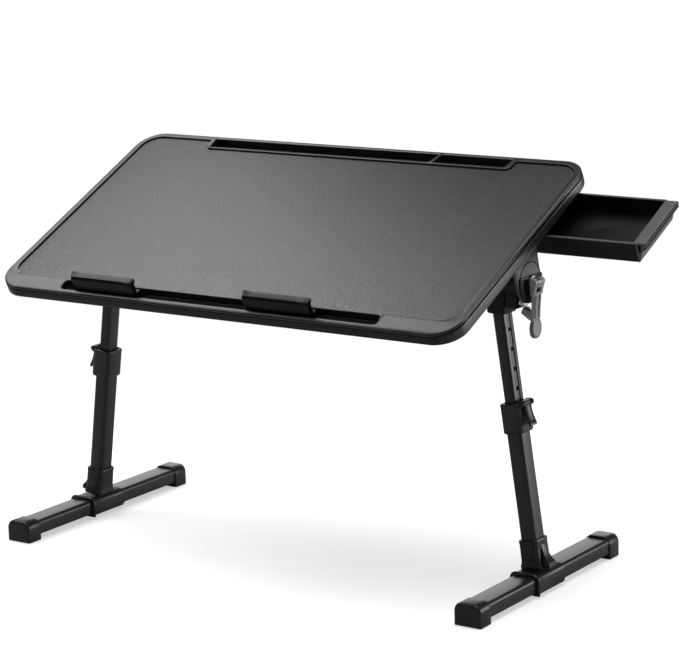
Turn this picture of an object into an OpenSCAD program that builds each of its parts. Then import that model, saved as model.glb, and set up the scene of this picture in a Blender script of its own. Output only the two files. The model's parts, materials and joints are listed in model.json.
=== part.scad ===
// Folding laptop bed table: tilting desktop with a side drawer on two telescopic legs.
// X runs to the user's right, Y to the back, Z up from the floor. Millimetres.

/* [Desktop] */
// Width of the desktop, side to side
desk_w = 600; // [570:5:640]
// Depth of the desktop, front to back
desk_d = 315; // [305:5:340]
// Height of the desktop's edge
desk_t = 16; // [15.5:0.5:18]
// Radius of the desktop's corners
corner_r = 38; // [30:1:44]
// Tilt of the desktop, rear edge up
tilt = 25; // [0:1:35]
// Width of the rim beside the leather
rim_w = 8; // [6:0.5:9]
// Height of the rim above the leather
rim_h = 1.8; // [1:0.1:2.4]
// Distance from the front edge to the leather
front_w = 21; // [20:0.5:24]

/* [Rear trough] */
// Width of the trough for a tablet and a phone
trough_w = 16; // [12:0.5:17]
// Depth of the trough below the leather
trough_depth = 9.5; // [6:0.5:10]
// Width of the rib between the two compartments
trough_rib = 4; // [3:0.5:8]

/* [Stoppers] */
// Length of one stopper
stop_len = 86; // [60:1:90]
// Height of a stopper above the leather
stop_h = 18; // [10:0.5:22]
// Width of the slot that the stoppers slide in
slot_w = 13; // [12:0.5:14]

/* [Drawer] */
// How far the drawer stands open
drawer_open = 98; // [0:1:110]
// Length of the drawer's tray
tray_len = 195; // [170:1:196]
// Width of the drawer's tray
tray_w = 82; // [70:1:84]
// Height of the drawer's tray
tray_h = 26; // [18:1:28]

/* [Legs] */
// Height of the fold pins above the floor
pin_z = 320; // [310:1:336]
// Distance from the middle of the desktop to each fold pin
pin_x = 258.5; // [255:0.5:262]
// Lean of each leg out from upright
splay = 8; // [5:0.5:9]
// Width of the inner tube, across the object
inner_w = 13.5; // [12:0.5:13.5]
// Depth of the inner tube, front to back
inner_d = 19; // [15:0.5:19]
// Spacing of the height holes
hole_pitch = 21; // [19:0.5:22]

/* [Feet] */
// Length of each foot, caps included
foot_len = 294; // [260:2:330]
// Width of the end caps
cap_w = 32; // [30:0.5:34]
// Height of the end caps
cap_h = 25; // [24:0.5:28]
// Length of the end caps
cap_len = 22; // [16:1:30]

/* [Hidden] */
$fn = 64;
fit = 0.05;          // running clearance of a pin or barrel
gap = 0.4;           // clearance between pieces that slide
join = 4.6;          // depth of the joint line between the rim and the edge band
bulge = 1.3;         // how far the edge band stands out
leather_t = 1.2;
leather_gap = 0.3;   // gap between the leather and the rim
board_t = 12;
under = -leather_t - board_t;           // underside of the board, from the leather's face
band_w = 6;                             // thickness of the edge band
body_y = -3;                            // plane of the legs
axis_z = pin_z + 12;                    // tilt axis above the floor
axis_drop = 43.656;                     // tilt axis below the leather's face
axis_v = -0.04;                         // tilt axis from the middle of the desktop
desk_y = body_y - axis_v * cos(tilt) - axis_drop * sin(tilt);
desk_z = axis_z - axis_v * sin(tilt) + axis_drop * cos(tilt);

lw = desk_w - 2 * rim_w;                // leather, side to side
lead_front = -desk_d / 2 + front_w;     // leather's front edge
lead_rear = desk_d / 2 - rim_w;         // leather's rear edge
inner_r = corner_r - rim_w;

trough_l = -196;                        // tablet compartment, left end
trough_m = 112;                         // rib between the compartments
trough_r = 206;                         // phone compartment, right end
trough_v = desk_d / 2 - 6 - trough_w;   // front wall of the trough
lip = 2.4;                              // wall in front of the trough and behind it
end_wall = 4;                           // walls at its two ends
rail_half = 226;                        // half the length of the front and rear rails
trough_back = desk_d / 2 - 6 + lip;     // rear face of the trough

slot_half = 210;
slot_v = lead_front - 1.5 - slot_w / 2; // middle of the slot
slot_floor = -7.5;
stop_x = [-147, 85];                    // middles of the two stoppers

house_u = [92, 291.5];                  // drawer housing, along X
tray_v = 90;                            // middle of the tray, front to back
wall = 2;
tray_top = -desk_t - 1.4;
house_bottom = tray_top - tray_h - 3;
front_u = desk_w / 2 + 2 + drawer_open; // inner face of the drawer front

block_w = 22.5;                         // yoke, across the object
block_x = 13.5;                         // yoke's outer face from the fold pin
drum_x = 31.4;                          // outer end of the head's drum
drum_r = 18;
saddle_x = [34, 37.6];                  // saddle plate, from the fold pin
saddle_r = 23;
arch_r = 20.4;                          // raised disc on the saddle
barrel_r = 13;                          // spigot through the saddle
boss_x = [38.2, 39.4, 41];              // clamp boss: inner face, step and outer face
boss_r = 21.5;
boss_drop = 4;                          // centre of its bell below the tilt axis
lever_x = 46.2;                         // lever pin, from the fold pin
cam_r = 4.4;
fold_r = 3;
rod_r = 2.3;
lever_pin_r = 1.3;

tube_wall = 1.5;
outer_w = inner_w + 5.1;
outer_d = inner_d + 4;
inner_s = [12, 186];                    // inner tube, down the leg from the fold pin
outer_s = [122, 292];
collar_s = [117, 151];
socket_s = [266, 302];
lock_s = 121;                           // pin of the height lever
lock_x = 14.8;
lock_pin_r = 1.5;
first_hole = 40;
holes = 6;
foot_x = pin_x + (pin_z - 12) * tan(splay);

bar_w = cap_w - 3;
bar_z = [6, 22.5];
sleeve_t = 2;
sleeve_len = 59;

// The origin lies on the floor under the middle of the whole object's box
slope = 28;                             // fall of the front edge
slope_d = 6.5;
right_edge = max(front_u + 13.4, foot_x + cap_w / 2);
front_edge = min(desk_y - (desk_d / 2 + bulge) * cos(tilt) + (join + 2.4) * sin(tilt),
  desk_y - desk_d / 2 * cos(tilt) + (slope_d * tan(slope) - rim_h) * sin(tilt), -foot_len / 2);
rear_edge = max(desk_y + (desk_d / 2 + bulge) * cos(tilt) + desk_t * sin(tilt), foot_len / 2);
mid_x = (foot_x + cap_w / 2 - right_edge) / 2;
mid_y = -(front_edge + rear_edge) / 2;

rim_col = [0.13, 0.13, 0.14];
leather_col = [0.17, 0.17, 0.18];
plastic_col = [0.2, 0.2, 0.21];
tube_col = [0.1, 0.1, 0.11];
grey_col = [0.45, 0.45, 0.46];
steel_col = [0.75, 0.75, 0.76];
white_col = [0.88, 0.88, 0.88];
rubber_col = [0.08, 0.08, 0.08];

// A rectangle with round corners, centred
module rrect(w, d, r) {
  square([w - 2 * r, d], center = true);
  square([w, d - 2 * r], center = true);
  for (x = [-1, 1], y = [-1, 1]) translate([x * (w / 2 - r), y * (d / 2 - r)]) circle(r);
}

// A plate between two heights
module plate(low, high) translate([0, 0, low]) linear_extrude(high - low) children();

// A profile drawn in Y and Z, extruded along X from one place to another
module along_x(from, to) translate([from, 0, 0]) rotate([90, 0, 90]) linear_extrude(to - from) children();

// A profile drawn in X and Z, extruded along Y from one place to another
module along_y(from, to) translate([0, to, 0]) rotate([90, 0, 0]) linear_extrude(to - from) children();

// A cylinder along X
module rod_x(from, to, r) translate([from, 0, 0]) rotate([0, 90, 0]) cylinder(h = to - from, r = r);

// A cylinder along Y, centred
module rod_y(len, r) rotate([90, 0, 0]) cylinder(h = len, r = r, center = true);

// Places: the desktop's own frame, and the frames of the right-hand side
module on_desk() translate([mid_x, mid_y + desk_y, desk_z]) rotate([tilt, 0, 0]) children();
module at_axis() translate([mid_x + pin_x, mid_y + body_y, axis_z]) children();
module at_pin() translate([mid_x + pin_x, mid_y + body_y, pin_z]) children();
module down_leg() at_pin() rotate([0, -splay, 0]) rotate([180, 0, 0]) children();
module at_foot() translate([mid_x + foot_x, mid_y, 0]) children();
module other_side() translate([2 * mid_x, 0, 0]) mirror([1, 0, 0]) children();

// ---------- desktop ----------

// Outline of everything inside the rim
module panel_outline(in = 0) {
  translate([0, (lead_front + lead_rear) / 2])
    rrect(lw - 2 * in, lead_rear - lead_front - 2 * in, inner_r - in);
  translate([0, (lead_front + in + 60) / 2]) rrect(lw - 2 * in, 60 - lead_front - in, 22 - in);
}

module leather_outline() difference() {
  panel_outline(leather_gap);
  trough_outline(leather_gap);
}

// Outline of the trough's body: round front corners, and a fillet where each end meets the rim
module trough_outline(out = 0) {
  left = trough_l - end_wall - out;
  right = trough_r + end_wall + out;
  front = trough_v - lip - out;
  translate([(left + right) / 2, (front + trough_back) / 2])
    rrect(right - left, trough_back - front, 7 + out);
  square_from([left, trough_back - 8], [right, trough_back]);
  translate([left, lead_rear - out]) mirror([1, 0]) corner_fillet(4 - out);
  translate([right, lead_rear - out]) corner_fillet(4 - out);
}

module corner_fillet(r) difference() {
  square_from([-0.5, -r], [r, 0]);
  translate([r, -r]) circle(r);
}

// Parts of the desktop's outline that the rails and the side pieces take
module rear_zone() square_from([-rail_half, trough_v - lip], [rail_half, desk_d]);
module front_zone() square_from([-rail_half, -desk_d], [rail_half, lead_front]);
module side_zone() difference() {
  square(2 * desk_w, center = true);
  rear_zone();
  front_zone();
}

module board_part(from, to) color(white_col) on_desk() plate(under, -leather_t) difference() {
  intersection() {
    panel_outline();
    square_from([-desk_w, from], [desk_w, to]);
  }
  trough_outline();
}

module desk_board() board_part(-desk_d, trough_v - lip);
module board_wings() board_part(trough_v - lip, desk_d);

module leather_top() color(leather_col) on_desk() plate(-leather_t, 0) leather_outline();

// Cross-section of the open troughs, between two ends
module compartment(from, to) translate([from, trough_v, -trough_depth])
  cube([to - from, trough_w, 2 * trough_depth]);

module slot_shape(low) plate(low, 5) translate([0, slot_v]) rrect(2 * slot_half, slot_w, slot_w / 2 - 0.5);

// Block that the slot is cut in
module slot_block(high) plate(slot_floor - 2, high) translate([0, slot_v])
  square([2 * slot_half + 6, slot_w + 3], center = true);

// The moulding around the leather, within one part of the outline
module rim_part() difference() {
  plate(-join + 0.3, rim_h) difference() {
    intersection() {
      rrect(desk_w, desk_d, corner_r);
      children();
    }
    panel_outline();
  }
  translate([0, -desk_d / 2 + slope_d, rim_h]) rotate([slope, 0, 0]) translate([-desk_w, -40, 0])
    cube([2 * desk_w, 40, 20]);
}

module side_rims() color(rim_col) on_desk() rim_part() side_zone();

module front_rail() color(rim_col) on_desk() difference() {
  union() {
    rim_part() front_zone();
    slot_block(-join + 1);
  }
  slot_shape(slot_floor);
}

module rear_trough() color(rim_col) on_desk() difference() {
  union() {
    rim_part() rear_zone();
    plate(-trough_depth - 2, rim_h) trough_outline();
  }
  compartment(trough_l, trough_m - trough_rib / 2);
  compartment(trough_m + trough_rib / 2, trough_r);
}

// The band around the desktop's edge, within one part of the outline
module band_part() difference() {
  union() {
    band_layer(-desk_t, -join, 0) children();
    band_layer(-desk_t + 1, -join - 1, bulge * 0.6) children();
    band_layer(-desk_t + 2.4, -join - 2.4, bulge) children();
  }
  plate(-desk_t - 1, 0) intersection() {
    rrect(desk_w - 2 * band_w, desk_d - 2 * band_w, corner_r - band_w);
    square_from([-desk_w, lead_front], [desk_w, desk_d]);
  }
  plate(slot_floor - 2.2, 0) intersection() {
    rrect(desk_w - 2 * band_w, desk_d - 2 * band_w, corner_r - band_w);
    square_from([-desk_w, -desk_d], [desk_w, lead_front + 1]);
  }
  plate(-trough_depth - 2, 0) trough_outline();
  slot_block(0);
  for (side = [-1, 1]) plate(-desk_t - 1, 0) translate([side * 232, lead_front - 9]) rrect(78, 11, 3);
}

module band_layer(low, high, out) plate(low, high) intersection() {
  rrect(desk_w + 2 * out, desk_d + 2 * out, corner_r + out);
  children();
}

module side_bands() color(rim_col) on_desk() band_part() side_zone();
module front_band() color(rim_col) on_desk() band_part() front_zone();
module rear_band() color(rim_col) on_desk() band_part() rear_zone();

// ---------- drawer housing ----------

module housing_section(w, low, r) difference() {
  translate([tray_v, 0]) union() {
    square_from([-w / 2, low + r], [w / 2, under]);
    square_from([-w / 2 + r, low], [w / 2 - r, under]);
    for (side = [-1, 1]) translate([side * (w / 2 - r), low + r]) circle(r);
  }
}

module square_from(a, b) translate(a) square([b[0] - a[0], b[1] - a[1]]);

module drawer_housing() color(plastic_col) on_desk() difference() {
  along_x(house_u[0], house_u[1]) housing_section(tray_w + 7.6, house_bottom, 5);
  along_x(house_u[0] + wall, house_u[1] + 1) housing_section(tray_w + 3.2, house_bottom + wall, 3);
}

module runners() color(plastic_col) on_desk() for (side = [-1, 1])
  translate([house_u[0] + 6, tray_v + side * (tray_w / 2 - 4) - 2, house_bottom + wall])
    cube([house_u[1] - house_u[0] - 12, 4, 0.6]);

module housing_screws() color(steel_col) on_desk()
  for (x = [0.14, 0.86], side = [-1, 1])
    translate([house_u[0] + x * (house_u[1] - house_u[0]), tray_v + side * (tray_w / 2 - 8),
      house_bottom - 0.8]) cylinder(h = 0.8, r = 3);

// ---------- drawer ----------

module drawer_tray() color(plastic_col) on_desk()
  translate([front_u - tray_len, tray_v - tray_w / 2, tray_top - tray_h]) difference() {
    cube([tray_len, tray_w, tray_h]);
    translate([wall, wall, wall]) cube([tray_len - 2 * wall, tray_w - 2 * wall, tray_h]);
  }

// The front is a plate with a lip on top to pull by
module drawer_front() color(plastic_col) on_desk()
along_y(tray_v - tray_w / 2 - 2, tray_v + tray_w / 2 + 2) {
  translate([front_u, 0]) union() {
    square_from([0, tray_top - tray_h - 1.6], [2.6, tray_top + 1]);
    square_from([0, tray_top - 1.4], [12.4, tray_top + 1]);
    square_from([10.2, tray_top - 4.6], [13.4, tray_top]);
    translate([12.4, tray_top]) circle(1);
    square_from([0, tray_top - tray_h - 1.6], [6, tray_top - tray_h + 0.6]);
    translate([6, tray_top - tray_h - 0.5]) circle(1.1);
  }
}

// ---------- stoppers ----------

module stopper_profile() polygon([
  [-slot_w / 2 + gap, slot_floor + gap], [slot_w / 2 - gap, slot_floor + gap], [slot_w / 2 - gap, -0.6],
  [-slot_w / 2 + 3.4, -0.6], [-slot_w / 2 + 3.4, stop_h - 4], [2.6, stop_h - 1.4], [2.2, stop_h + 1],
  [-slot_w / 2 + gap, stop_h - 1]
]);

module stopper(n) color(rubber_col) on_desk() translate([stop_x[n], slot_v, 0]) {
  along_x(-stop_len / 2, stop_len / 2) stopper_profile();
}

module stopper_left() stopper(0);
module stopper_right() stopper(1);

// ---------- tilt bracket, fixed under the desktop ----------

base_u = [pin_x - 29, pin_x + 33.5];
base_d = 76;
base_t = 2.5;

module bracket_base_right() color(rim_col) on_desk()
  plate(under - base_t, under) translate([(base_u[0] + base_u[1]) / 2, axis_v])
    rrect(base_u[1] - base_u[0], base_d, 9);

module bracket_screws() color(steel_col) on_desk()
  for (hand = [-1, 1], x = [base_u[0] + 8, base_u[1] - 8], side = [-1, 1])
    translate([hand * x, axis_v + side * (base_d / 2 - 5.4), under - base_t - 1.8])
      cylinder(h = 1.8, r = 3.4);

// A plate that narrows to a round end about the tilt axis, with a raised disc and a thick foot
module saddle_right() color(plastic_col) on_desk() difference() {
  union() {
    along_x(pin_x + saddle_x[0], pin_x + saddle_x[1]) translate([axis_v, 0]) union() {
      polygon([[-28.2, under - base_t], [28.2, under - base_t],
        [23.2, -axis_drop - 2], [-23.2, -axis_drop - 2]]);
      translate([0, -axis_drop]) circle(saddle_r);
    }
    along_x(pin_x + 20, pin_x + saddle_x[1]) translate([axis_v, under - base_t])
      polygon([[-28.5, 0], [28.5, 0], [27, -7], [-27, -7]]);
    along_x(pin_x + saddle_x[0], pin_x + saddle_x[1] + 0.4) translate([axis_v, -axis_drop]) circle(arch_r);
  }
  translate([0, axis_v, -axis_drop]) rod_x(pin_x, pin_x + 60, barrel_r + fit);
  // Clear of the edge band
  translate([desk_w / 2 - band_w - 0.2, -60, -desk_t - 0.15]) cube([60, 120, 20]);
}

// ---------- tilt head ----------

module yoke_right() color(tube_col) at_pin() difference() {
  translate([block_x - block_w / 2, 0, 0]) plate(-23.5, 23) rrect(block_w, 25, 3);
  translate([-30, -inner_d / 2 - 0.4, -30]) cube([30 + block_x - 3, inner_d + 0.8, 42]);
  rod_y(40, fold_r);
}

// The drum beside the yoke, its square skirt and the spigot that the saddle turns on
module barrel_right() color(tube_col) at_axis() difference() {
  union() {
    rod_x(block_x, drum_x, drum_r);
    translate([block_x, -12.5, -28]) cube([15.5, 25, 28]);
    rod_x(drum_x, saddle_x[1] + 0.5, barrel_r);
  }
  rod_x(0, 60, rod_r);
}

// A detent plate with a toothed quadrant below, and a thrust washer under the cam
module clamp_washers_right() color(steel_col) at_axis() difference() {
  union() {
    rod_x(drum_x, drum_x + 2, 17.5);
    along_x(drum_x, drum_x + 2)
      polygon([[0, 0], [-13.5, -22.5], [-7, -25.2], [0, -26], [7, -25.2], [13.5, -22.5]]);
    rod_x(boss_x[2], boss_x[2] + 0.6, 6.4);
  }
  rod_x(0, saddle_x[1], barrel_r);
  rod_x(0, 60, rod_r);
}

// A cover with a flat top, and a bell that the cam presses on
module clamp_boss_right() color(tube_col) at_axis() difference() {
  union() {
    along_x(boss_x[0], boss_x[1]) intersection() {
      circle(boss_r);
      square_from([-boss_r, -boss_r], [boss_r, 6.5]);
    }
    translate([boss_x[1] - 0.2, 0, -boss_drop]) rotate([0, 90, 0]) rotate_extrude()
      polygon([[0, 0], [10.4, 0], [10.4, 0.4], [8.4, boss_x[2] - boss_x[1] + 0.2],
        [0, boss_x[2] - boss_x[1] + 0.2]]);
  }
  rod_x(0, 60, rod_r);
}

module clamp_rod_right() color(steel_col) at_axis() difference() {
  union() {
    rod_x(block_x, lever_x, rod_r);
    translate([lever_x, 0, 0]) rod_y(6.8, rod_r + 0.8);
  }
  translate([lever_x, 0, 0]) rod_y(20, lever_pin_r);
}

module fold_pin_right() color(steel_col) at_pin() {
  rod_y(25, fold_r - 0.001);
  for (side = [-1, 1]) translate([0, side * 13.4, 0]) rod_y(1.8, 5);
}

module lever_pin_right() color(steel_col) at_axis() translate([lever_x, 0, 0]) {
  rod_y(19.2, lever_pin_r - 0.001);
}

// The cam lever: a forked round head, a ribbed shank, a hook and a paddle
module clamp_lever_right() color(grey_col) at_axis() translate([lever_x, 0, 0]) difference() {
  union() {
    rod_y(19, cam_r);
    along_y(-9.5, 9.5) polygon([[cam_r - 0.1, 0], [2.2, -6], [0.8, -13],
      [-3.4, -13], [-3.2, -8], [-4, 0]]);
    along_y(-7.6, 7.6) polygon([[0.8, -12], [-0.4, -27], [-0.7, -46],
      [-4.4, -46], [-3.9, -27], [-3.3, -12]]);
    for (side = [-1, 1]) translate([0, side * 4.1, 0]) along_y(-1.1, 1.1)
      polygon([[0, -14], [1.7, -15.5], [0.7, -38], [-1, -39.5]]);
    along_x(-5.1, -0.4) union() {
      translate([0, -48.2]) circle(7.6);
      square_from([-7.6, -54.4], [7.6, -48.2]);
      translate([0, -54.4]) circle(7.6);
    }
    along_y(-3.4, 3.4) polygon([[-2.5, -33.6], [-8, -33.2], [-13, -33.8], [-14.6, -31.2],
      [-18.3, -30.7], [-21.7, -37.9], [-10.5, -44], [-3, -45]]);
  }
  translate([-10, -3.7, -3.7]) cube([13.3, 7.4, 30]);
  translate([-20, -4.1, -10.6]) cube([40, 8.2, 6]);
  rod_y(30, lever_pin_r + fit);
}

// ---------- upper leg ----------

// In this frame Z runs down the leg from the fold pin
module hinge_plug_right() color(tube_col) down_leg() difference() {
  union() {
    rod_y(inner_d, inner_w / 2);
    plate(0, inner_s[0]) square([inner_w, inner_d], center = true);
    plate(inner_s[0], inner_s[0] + 18)
      square([inner_w - 2 * tube_wall, inner_d - 2 * tube_wall], center = true);
  }
  rod_y(40, fold_r + fit);
}

module inner_tube_right() color(tube_col) down_leg() difference() {
  plate(inner_s[0], inner_s[1]) difference() {
    rrect(inner_w, inner_d, 2);
    square([inner_w - 2 * tube_wall, inner_d - 2 * tube_wall], center = true);
  }
  translate([inner_w / 2 - 0.7, -2.6, inner_s[0] + 3]) cube([2, 5.2, 200]);
  for (i = [0 : holes - 1]) translate([0, 0, first_hole + i * hole_pitch]) rod_x(0, 20, 2.4);
}

// ---------- lower leg ----------

module outer_tube_right() color(tube_col) down_leg() difference() {
  plate(outer_s[0], outer_s[1]) difference() {
    rrect(outer_w, outer_d, 3);
    rrect(inner_w + 1.1, inner_d + 1, 2.2);
  }
  translate([0, -4, lock_s - 5]) cube([20, 8, 12]);
}

// Sleeve around the top of the outer tube, open at the top
module collar_right() color(plastic_col) down_leg() difference() {
  union() {
    plate(collar_s[0], collar_s[1]) rrect(outer_w + 5.4, outer_d + 5.4, 4.5);
    for (side = [-1, 1]) translate([0, side * 8.6, lock_s]) {
      along_y(-1.4, 1.4) square_from([outer_w / 2, -3.4], [lock_x, 3.4]);
      translate([lock_x, 0, 0]) rod_y(2.8, 3.4);
    }
  }
  translate([lock_x, 0, lock_s]) rod_y(40, lock_pin_r);
  plate(collar_s[0] - 1, outer_s[0]) rrect(inner_w + 2.4, inner_d + 2.4, 2);
  plate(outer_s[0], collar_s[1] + 1) rrect(outer_w, outer_d, 3);
  translate([outer_w / 2 - 2, -7, collar_s[0] - 1]) cube([20, 14, 27]);
}

// Height lever: hinged at its top, flared at its lower end, with a bolt for the holes
module lock_lever_right() color(rim_col) down_leg() translate([lock_x, 0, lock_s]) difference() {
  union() {
    along_y(-6.6, 6.6) polygon([[-2.6, -3], [2.4, -3.4], [3.2, 8], [6, 16], [10.4, 23], [8, 24.4],
      [3.4, 18], [0.4, 10], [-2.6, 5]]);
    rod_y(13.2, 3.4);
    translate([0, 0, 3]) rod_x(-7.2, -1, 2);
  }
  rod_y(20, lock_pin_r + fit);
}

module lock_pin_right() color(steel_col) down_leg() translate([lock_x, 0, lock_s])
  rod_y(20.6, lock_pin_r - 0.001);

// Socket at the foot of the outer tube
module socket_right() color(plastic_col) difference() {
  down_leg() difference() {
    union() {
      plate(socket_s[0], 322) rrect(outer_w + 5.6, outer_d + 5.6, 3.6);
      plate(socket_s[0] + 8, 322) translate([outer_w / 2 + 2.8, 0]) square([5.6, 16], center = true);
      plate(socket_s[0] + 5, socket_s[1] - 6) translate([0, outer_d / 2 + 2.9])
        square([13, 2], center = true);
    }
    plate(socket_s[0] - 1, outer_s[1]) rrect(outer_w, outer_d, 3);
  }
  at_foot() along_y(-60, 60) arch(bar_w + 2 * sleeve_t, bar_z[0] - 20, bar_z[1] + sleeve_t, 5.5);
  translate([-desk_w, -desk_w, -60]) cube([2 * desk_w, 2 * desk_w, 60 + bar_z[0] + 11]);
}

// ---------- foot ----------

// A flat-sided profile with an arched top
module arch(w, low, high, rise) {
  r = (w * w / 4 + rise * rise) / (2 * rise);
  intersection() {
    square_from([-w / 2, low], [w / 2, high + 1]);
    translate([0, high - r]) circle(r, $fn = 160);
  }
}

module foot_bar_right() color(tube_col) at_foot()
  along_y(-foot_len / 2 + cap_len - 6, foot_len / 2 - cap_len + 6) difference() {
    arch(bar_w, bar_z[0], bar_z[1], 5.5);
    arch(bar_w - 3, bar_z[0] + 1.5, bar_z[1] - 1.5, 5);
  }

module foot_sleeve_right() color(plastic_col) at_foot()
  along_y(body_y - sleeve_len / 2, body_y + sleeve_len / 2) difference() {
    arch(bar_w + 2 * sleeve_t, bar_z[0] - sleeve_t, bar_z[1] + sleeve_t, 5.5);
    arch(bar_w, bar_z[0], bar_z[1], 5.5);
  }

module cap(side) color(rubber_col) at_foot() difference() {
  translate([0, side * (foot_len / 2 - cap_len / 2), 0]) along_y(-cap_len / 2, cap_len / 2)
    arch(cap_w, 0, cap_h, 5);
  along_y(-foot_len / 2 + cap_len - 6, foot_len / 2 - cap_len + 6) arch(bar_w, bar_z[0], bar_z[1], 5.5);
}

module cap_front_right() cap(-1);
module cap_rear_right() cap(1);

// ---------- left-hand side ----------

module bracket_base_left() other_side() bracket_base_right();
module saddle_left() other_side() saddle_right();
module yoke_left() other_side() yoke_right();
module barrel_left() other_side() barrel_right();
module clamp_boss_left() other_side() clamp_boss_right();
module clamp_rod_left() other_side() clamp_rod_right();
module clamp_washers_left() other_side() clamp_washers_right();
module fold_pin_left() other_side() fold_pin_right();
module lever_pin_left() other_side() lever_pin_right();
module clamp_lever_left() other_side() clamp_lever_right();
module hinge_plug_left() other_side() hinge_plug_right();
module inner_tube_left() other_side() inner_tube_right();
module outer_tube_left() other_side() outer_tube_right();
module collar_left() other_side() collar_right();
module lock_lever_left() other_side() lock_lever_right();
module lock_pin_left() other_side() lock_pin_right();
module socket_left() other_side() socket_right();
module foot_sleeve_left() other_side() foot_sleeve_right();
module foot_bar_left() other_side() foot_bar_right();
module cap_front_left() other_side() cap_front_right();
module cap_rear_left() other_side() cap_rear_right();

// ---------- output ----------

desk_board();
board_wings();
leather_top();
side_rims();
front_rail();
rear_trough();
side_bands();
front_band();
rear_band();
drawer_housing();
runners();
housing_screws();
bracket_base_right();
bracket_base_left();
saddle_right();
saddle_left();
bracket_screws();
drawer_tray();
drawer_front();
stopper_left();
stopper_right();
yoke_right();
yoke_left();
barrel_right();
barrel_left();
clamp_boss_right();
clamp_boss_left();
clamp_rod_right();
clamp_rod_left();
clamp_washers_right();
clamp_washers_left();
fold_pin_right();
fold_pin_left();
lever_pin_right();
lever_pin_left();
clamp_lever_right();
clamp_lever_left();
hinge_plug_right();
hinge_plug_left();
inner_tube_right();
inner_tube_left();
outer_tube_right();
outer_tube_left();
collar_right();
collar_left();
lock_lever_right();
lock_lever_left();
lock_pin_right();
lock_pin_left();
socket_right();
socket_left();
foot_sleeve_right();
foot_sleeve_left();
foot_bar_right();
foot_bar_left();
cap_front_right();
cap_front_left();
cap_rear_right();
cap_rear_left();
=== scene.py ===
import json
import math

import bmesh
import bpy
import numpy as np
from mathutils import Matrix, Vector

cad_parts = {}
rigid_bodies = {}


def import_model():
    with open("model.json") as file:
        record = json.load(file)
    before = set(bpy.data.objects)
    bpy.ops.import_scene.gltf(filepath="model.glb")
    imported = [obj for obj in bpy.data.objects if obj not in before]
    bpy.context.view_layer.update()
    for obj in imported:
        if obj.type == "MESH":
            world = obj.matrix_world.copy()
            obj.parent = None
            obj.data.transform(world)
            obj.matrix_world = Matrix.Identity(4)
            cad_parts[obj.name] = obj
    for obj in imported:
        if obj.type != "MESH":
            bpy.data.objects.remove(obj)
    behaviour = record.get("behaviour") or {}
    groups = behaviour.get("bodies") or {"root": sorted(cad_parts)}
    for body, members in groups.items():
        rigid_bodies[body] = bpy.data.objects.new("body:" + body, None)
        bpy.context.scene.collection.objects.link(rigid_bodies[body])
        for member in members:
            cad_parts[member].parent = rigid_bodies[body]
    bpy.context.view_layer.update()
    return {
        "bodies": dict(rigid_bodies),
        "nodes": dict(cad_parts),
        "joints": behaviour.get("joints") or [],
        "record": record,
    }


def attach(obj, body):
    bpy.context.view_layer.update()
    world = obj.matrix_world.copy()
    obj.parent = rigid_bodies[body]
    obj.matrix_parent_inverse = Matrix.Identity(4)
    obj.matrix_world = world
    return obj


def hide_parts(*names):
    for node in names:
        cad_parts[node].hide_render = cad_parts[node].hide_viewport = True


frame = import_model()

# Sizes are in millimetres until a mesh is made; u, v, w run right, back and up in the desktop's own frame
MID = np.array([-47.8067, 8.2286])          # middle of the desktop and of the feet
TILT = math.radians(25)
DESK = (-21.4136, 371.5826)                 # desktop's origin, back and up
SPLAY = math.radians(8)
PIN_X, PIN_Z, AXIS_Z, BODY_Y = 258.5, 320.0, 332.0, -3.0
AXIS_V, AXIS_W = -0.04, -43.656             # tilt axis in the desktop's own frame
FOOT_X = 301.787
HALF_D = 157.5
CORNER, CORNER_R, INSIDE_R = (270.0, 127.5), 30.0, 22.0     # outer corners, and the rim's two radii
TOP = 1.8                                   # rim above the leather
UNDER = -13.2                               # underside of the board
SLOT_V = -144.5                             # middle of the stopper slot
FRONT_V = -114.5                            # middles of the leather's front corners
REAR_V, TROUGH_V, RAIL_V = 149.5, 133.1, -136.5     # inner edges of the rear rim, the trough and the rail
TRAY_V = 90.0                               # middle of the drawer
LEVER_AT = (46.2, 0, 0)                     # cam lever's pin, from the tilt axis
FLAP_AT = (14.8, 0, 121)                    # height lever's pin, in the leg's frame
WELD = 4e-6                                 # points closer than this are joined, in metres


# ---------- arrays ----------

def unit(v):
    """Each vector over its own length."""
    return v / np.maximum(np.linalg.norm(v, axis=-1, keepdims=True), 1e-9)


def col(*parts):
    """Numbers and arrays stacked as the last axis of one array."""
    return np.stack(np.broadcast_arrays(*[np.asarray(p, float) for p in parts]), -1)


def rounded(corners, radii, steps=5):
    """Outline whose corners are arcs: each arc's middle lies on the bisector at r / sin(half angle),
    and the arc turns by pi minus the corner's angle."""
    p = np.asarray(corners, float)
    r = np.broadcast_to(np.asarray(radii, float), len(p)) + 1e-4
    back, on = unit(np.roll(p, 1, 0) - p), unit(np.roll(p, -1, 0) - p)
    half = 0.5 * np.arccos(np.clip((back * on).sum(1), -1, 1))
    middle = p + unit(back + on) * (r / np.sin(half))[:, None]
    start = p + back * (r / np.tan(half))[:, None] - middle
    side = np.sign(on[:, 0] * back[:, 1] - on[:, 1] * back[:, 0])
    angle = (side * (math.pi - 2 * half))[:, None] * np.linspace(0, 1, steps + 1)
    x, y = start[:, :1], start[:, 1:]
    arc = col(x * np.cos(angle) - y * np.sin(angle), x * np.sin(angle) + y * np.cos(angle))
    return (middle[:, None] + arc).reshape(-1, 2)


def box_loop(w, d, r, steps=5, at=(0, 0)):
    """Rectangle with round corners about a point."""
    return rounded([(w / 2, -d / 2), (w / 2, d / 2), (-w / 2, d / 2), (-w / 2, -d / 2)], r, steps) + at


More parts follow.
